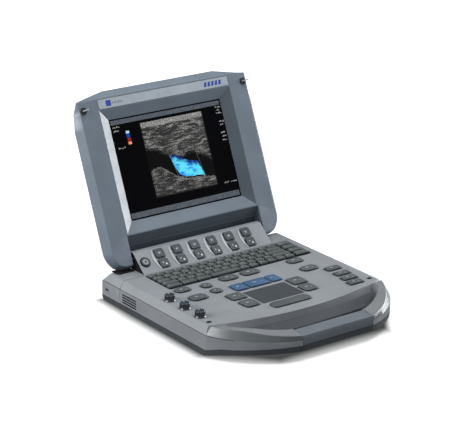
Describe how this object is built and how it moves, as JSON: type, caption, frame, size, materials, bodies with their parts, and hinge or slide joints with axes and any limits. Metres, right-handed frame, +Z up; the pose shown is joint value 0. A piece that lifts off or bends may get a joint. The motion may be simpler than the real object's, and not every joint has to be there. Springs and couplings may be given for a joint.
{
  "type": "ultrasound scanner",
  "caption": "Hand-carried clamshell ultrasound scanner: tilted lid with display, sloped function-key panel, keyboard deck with knobs and touchpad, and a fixed front carrying handle.",
  "frame": {"origin": "on the table, under the centre of the box of the open scanner", "axes": "+X to the operator's right, -Y towards the carrying handle and the operator, +Z up"},
  "size_m": [0.277, 0.3832, 0.2461],
  "materials": {
    "casing_grey": "fine grained painted plastic",
    "casing_dark": "fine grained plastic",
    "lid_grey": "fine grained painted plastic",
    "grip_slate": "soft touch plastic",
    "panel_grey": "fine grained plastic",
    "foot_rubber": "matt",
    "steel": "turned",
    "function_key": "moulded",
    "key_blue": "moulded",
    "typing_key": "moulded",
    "deck_key": "moulded",
    "black_plastic": "moulded",
    "touchpad_dark": "smooth",
    "display": "smooth",
    "strip_silver": "satin",
    "board": "solder mask",
    "battery": "moulded",
    "socket_black": "moulded"
  },
  "bodies": {
    "base": {"battery_pack": "battery", "bottom_shell": "casing_dark", "case_screws": "steel", "handle_grip": "grip_slate", "hinge_pins": "steel", "key_panel": "panel_grey", "latch_sockets": "black_plastic", "main_board": "board", "rear_cap": "casing_grey", "rear_connectors": "socket_black", "rubber_feet": "foot_rubber", "side_shell": "casing_grey", "top_cover": "casing_grey", "touchpad": "touchpad_dark", "transducer_socket": "socket_black"},
    "lid": {"lid_bezel": "lid_grey", "lid_back_cover": "lid_grey", "lcd_panel": "display", "name_strip": "strip_silver", "latch_hooks": "strip_silver", "lid_bumpers": "foot_rubber"},
    "blue_key_left": {"blue_key_left": "key_blue"},
    "blue_key_middle": {"blue_key_middle": "key_blue"},
    "blue_key_right": {"blue_key_right": "key_blue"},
    "edge_keys": {"edge_keys": "typing_key"},
    "function_key_lower_1": {"function_key_lower_1": "function_key"},
    "function_key_lower_2": {"function_key_lower_2": "function_key"},
    "function_key_lower_3": {"function_key_lower_3": "function_key"},
    "function_key_lower_4": {"function_key_lower_4": "function_key"},
    "function_key_lower_5": {"function_key_lower_5": "function_key"},
    "function_key_lower_6": {"function_key_lower_6": "function_key"},
    "function_key_upper_1": {"function_key_upper_1": "function_key"},
    "function_key_upper_2": {"function_key_upper_2": "function_key"},
    "function_key_upper_3": {"function_key_upper_3": "function_key"},
    "function_key_upper_4": {"function_key_upper_4": "function_key"},
    "function_key_upper_5": {"function_key_upper_5": "function_key"},
    "function_key_upper_6": {"function_key_upper_6": "function_key"},
    "knob_back": {"knob_back": "black_plastic"},
    "knob_front": {"knob_front": "black_plastic"},
    "knob_middle": {"knob_middle": "black_plastic"},
    "pad_bar_key": {"pad_bar_key": "deck_key"},
    "pad_key_lower_left": {"pad_key_lower_left": "deck_key"},
    "pad_key_lower_right": {"pad_key_lower_right": "deck_key"},
    "pad_key_upper_left": {"pad_key_upper_left": "deck_key"},
    "pad_key_upper_right": {"pad_key_upper_right": "deck_key"},
    "pill_key_1": {"pill_key_1": "deck_key"},
    "pill_key_2": {"pill_key_2": "deck_key"},
    "pill_key_3": {"pill_key_3": "deck_key"},
    "pill_key_4": {"pill_key_4": "deck_key"},
    "pill_key_5": {"pill_key_5": "deck_key"},
    "pill_key_6": {"pill_key_6": "deck_key"},
    "pill_key_7": {"pill_key_7": "deck_key"},
    "pill_key_8": {"pill_key_8": "deck_key"},
    "power_button": {"power_button": "deck_key"},
    "side_key_1": {"side_key_1": "deck_key"},
    "side_key_2": {"side_key_2": "deck_key"},
    "side_key_3": {"side_key_3": "deck_key"},
    "side_key_4": {"side_key_4": "deck_key"},
    "space_bar": {"space_bar": "typing_key"},
    "typing_keys": {"typing_keys": "typing_key"}
  },
  "joints": [
    {"name": "lid_hinge", "type": "hinge", "parent": "base", "child": "lid", "pos_m": [0, 0.09234, 0.05065], "axis": [1, 0, 0], "range_deg": [-12, 113.45]},
    {"name": "blue_key_left_press", "type": "slide", "parent": "base", "child": "blue_key_left", "axis": [0, 0, -1], "range_m": [0, 0.0012], "stiffness_N_per_m": 500, "springref_m": -0.0008},
    {"name": "blue_key_middle_press", "type": "slide", "parent": "base", "child": "blue_key_middle", "axis": [0, 0, -1], "range_m": [0, 0.0012], "stiffness_N_per_m": 500, "springref_m": -0.0008},
    {"name": "blue_key_right_press", "type": "slide", "parent": "base", "child": "blue_key_right", "axis": [0, 0, -1], "range_m": [0, 0.0012], "stiffness_N_per_m": 500, "springref_m": -0.0008},
    {"name": "edge_keys_press", "type": "slide", "parent": "base", "child": "edge_keys", "axis": [0, 0, -1], "range_m": [0, 0.001], "stiffness_N_per_m": 500, "springref_m": -0.0008},
    {"name": "function_key_lower_1_press", "type": "slide", "parent": "base", "child": "function_key_lower_1", "axis": [0, 0.6602, -0.7511], "range_m": [0, 0.0012], "stiffness_N_per_m": 500, "springref_m": -0.0008},
    {"name": "function_key_lower_2_press", "type": "slide", "parent": "base", "child": "function_key_lower_2", "axis": [0, 0.6602, -0.7511], "range_m": [0, 0.0012], "stiffness_N_per_m": 500, "springref_m": -0.0008},
    {"name": "function_key_lower_3_press", "type": "slide", "parent": "base", "child": "function_key_lower_3", "axis": [0, 0.6602, -0.7511], "range_m": [0, 0.0012], "stiffness_N_per_m": 500, "springref_m": -0.0008},
    {"name": "function_key_lower_4_press", "type": "slide", "parent": "base", "child": "function_key_lower_4", "axis": [0, 0.6602, -0.7511], "range_m": [0, 0.0012], "stiffness_N_per_m": 500, "springref_m": -0.0008},
    {"name": "function_key_lower_5_press", "type": "slide", "parent": "base", "child": "function_key_lower_5", "axis": [0, 0.6602, -0.7511], "range_m": [0, 0.0012], "stiffness_N_per_m": 500, "springref_m": -0.0008},
    {"name": "function_key_lower_6_press", "type": "slide", "parent": "base", "child": "function_key_lower_6", "axis": [0, 0.6602, -0.7511], "range_m": [0, 0.0012], "stiffness_N_per_m": 500, "springref_m": -0.0008},
    {"name": "function_key_upper_1_press", "type": "slide", "parent": "base", "child": "function_key_upper_1", "axis": [0, 0.6602, -0.7511], "range_m": [0, 0.0012], "stiffness_N_per_m": 500, "springref_m": -0.0008},
    {"name": "function_key_upper_2_press", "type": "slide", "parent": "base", "child": "function_key_upper_2", "axis": [0, 0.6602, -0.7511], "range_m": [0, 0.0012], "stiffness_N_per_m": 500, "springref_m": -0.0008},
    {"name": "function_key_upper_3_press", "type": "slide", "parent": "base", "child": "function_key_upper_3", "axis": [0, 0.6602, -0.7511], "range_m": [0, 0.0012], "stiffness_N_per_m": 500, "springref_m": -0.0008},
    {"name": "function_key_upper_4_press", "type": "slide", "parent": "base", "child": "function_key_upper_4", "axis": [0, 0.6602, -0.7511], "range_m": [0, 0.0012], "stiffness_N_per_m": 500, "springref_m": -0.0008},
    {"name": "function_key_upper_5_press", "type": "slide", "parent": "base", "child": "function_key_upper_5", "axis": [0, 0.6602, -0.7511], "range_m": [0, 0.0012], "stiffness_N_per_m": 500, "springref_m": -0.0008},
    {"name": "function_key_upper_6_press", "type": "slide", "parent": "base", "child": "function_key_upper_6", "axis": [0, 0.6602, -0.7511], "range_m": [0, 0.0012], "stiffness_N_per_m": 500, "springref_m": -0.0008},
    {"name": "knob_back_turn", "type": "hinge", "parent": "base", "child": "knob_back", "pos_m": [-0.1232, -0.02, 0.0377], "axis": [0, 0, 1], "range_deg": [-150, 150]},
    {"name": "knob_front_turn", "type": "hinge", "parent": "base", "child": "knob_front", "pos_m": [-0.1232, -0.082, 0.0377], "axis": [0, 0, 1], "range_deg": [-150, 150]},
    {"name": "knob_middle_turn", "type": "hinge", "parent": "base", "child": "knob_middle", "pos_m": [-0.1232, -0.0512, 0.0377], "axis": [0, 0, 1], "range_deg": [-150, 150]},
    {"name": "pad_bar_key_press", "type": "slide", "parent": "base", "child": "pad_bar_key", "axis": [0, 0, -1], "range_m": [0, 0.0012], "stiffness_N_per_m": 500, "springref_m": -0.0008},
    {"name": "pad_key_lower_left_press", "type": "slide", "parent": "base", "child": "pad_key_lower_left", "axis": [0, 0, -1], "range_m": [0, 0.0012], "stiffness_N_per_m": 500, "springref_m": -0.0008},
    {"name": "pad_key_lower_right_press", "type": "slide", "parent": "base", "child": "pad_key_lower_right", "axis": [0, 0, -1], "range_m": [0, 0.0012], "stiffness_N_per_m": 500, "springref_m": -0.0008},
    {"name": "pad_key_upper_left_press", "type": "slide", "parent": "base", "child": "pad_key_upper_left", "axis": [0, 0, -1], "range_m": [0, 0.0012], "stiffness_N_per_m": 500, "springref_m": -0.0008},
    {"name": "pad_key_upper_right_press", "type": "slide", "parent": "base", "child": "pad_key_upper_right", "axis": [0, 0, -1], "range_m": [0, 0.0012], "stiffness_N_per_m": 500, "springref_m": -0.0008},
    {"name": "pill_key_1_press", "type": "slide", "parent": "base", "child": "pill_key_1", "axis": [0, 0, -1], "range_m": [0, 0.0012], "stiffness_N_per_m": 500, "springref_m": -0.0008},
    {"name": "pill_key_2_press", "type": "slide", "parent": "base", "child": "pill_key_2", "axis": [0, 0, -1], "range_m": [0, 0.0012], "stiffness_N_per_m": 500, "springref_m": -0.0008},
    {"name": "pill_key_3_press", "type": "slide", "parent": "base", "child": "pill_key_3", "axis": [0, 0, -1], "range_m": [0, 0.0012], "stiffness_N_per_m": 500, "springref_m": -0.0008},
    {"name": "pill_key_4_press", "type": "slide", "parent": "base", "child": "pill_key_4", "axis": [0, 0, -1], "range_m": [0, 0.0012], "stiffness_N_per_m": 500, "springref_m": -0.0008},
    {"name": "pill_key_5_press", "type": "slide", "parent": "base", "child": "pill_key_5", "axis": [0, 0, -1], "range_m": [0, 0.0012], "stiffness_N_per_m": 500, "springref_m": -0.0008},
    {"name": "pill_key_6_press", "type": "slide", "parent": "base", "child": "pill_key_6", "axis": [0, 0, -1], "range_m": [0, 0.0012], "stiffness_N_per_m": 500, "springref_m": -0.0008},
    {"name": "pill_key_7_press", "type": "slide", "parent": "base", "child": "pill_key_7", "axis": [0, 0, -1], "range_m": [0, 0.0012], "stiffness_N_per_m": 500, "springref_m": -0.0008},
    {"name": "pill_key_8_press", "type": "slide", "parent": "base", "child": "pill_key_8", "axis": [0, 0, -1], "range_m": [0, 0.0012], "stiffness_N_per_m": 500, "springref_m": -0.0008},
    {"name": "power_button_press", "type": "slide", "parent": "base", "child": "power_button", "axis": [0, 0.6602, -0.7511], "range_m": [0, 0.0012], "stiffness_N_per_m": 500, "springref_m": -0.0008},
    {"name": "side_key_1_press", "type": "slide", "parent": "base", "child": "side_key_1", "axis": [0, 0, -1], "range_m": [0, 0.0012], "stiffness_N_per_m": 500, "springref_m": -0.0008},
    {"name": "side_key_2_press", "type": "slide", "parent": "base", "child": "side_key_2", "axis": [0, 0, -1], "range_m": [0, 0.0012], "stiffness_N_per_m": 500, "springref_m": -0.0008},
    {"name": "side_key_3_press", "type": "slide", "parent": "base", "child": "side_key_3", "axis": [0, 0, -1], "range_m": [0, 0.0012], "stiffness_N_per_m": 500, "springref_m": -0.0008},
    {"name": "side_key_4_press", "type": "slide", "parent": "base", "child": "side_key_4", "axis": [0, 0, -1], "range_m": [0, 0.0012], "stiffness_N_per_m": 500, "springref_m": -0.0008},
    {"name": "space_bar_press", "type": "slide", "parent": "base", "child": "space_bar", "axis": [0, 0, -1], "range_m": [0, 0.001], "stiffness_N_per_m": 500, "springref_m": -0.0008},
    {"name": "typing_keys_press", "type": "slide", "parent": "base", "child": "typing_keys", "axis": [0, 0, -1], "range_m": [0, 0.001], "stiffness_N_per_m": 800, "springref_m": -0.0008}
  ]
}
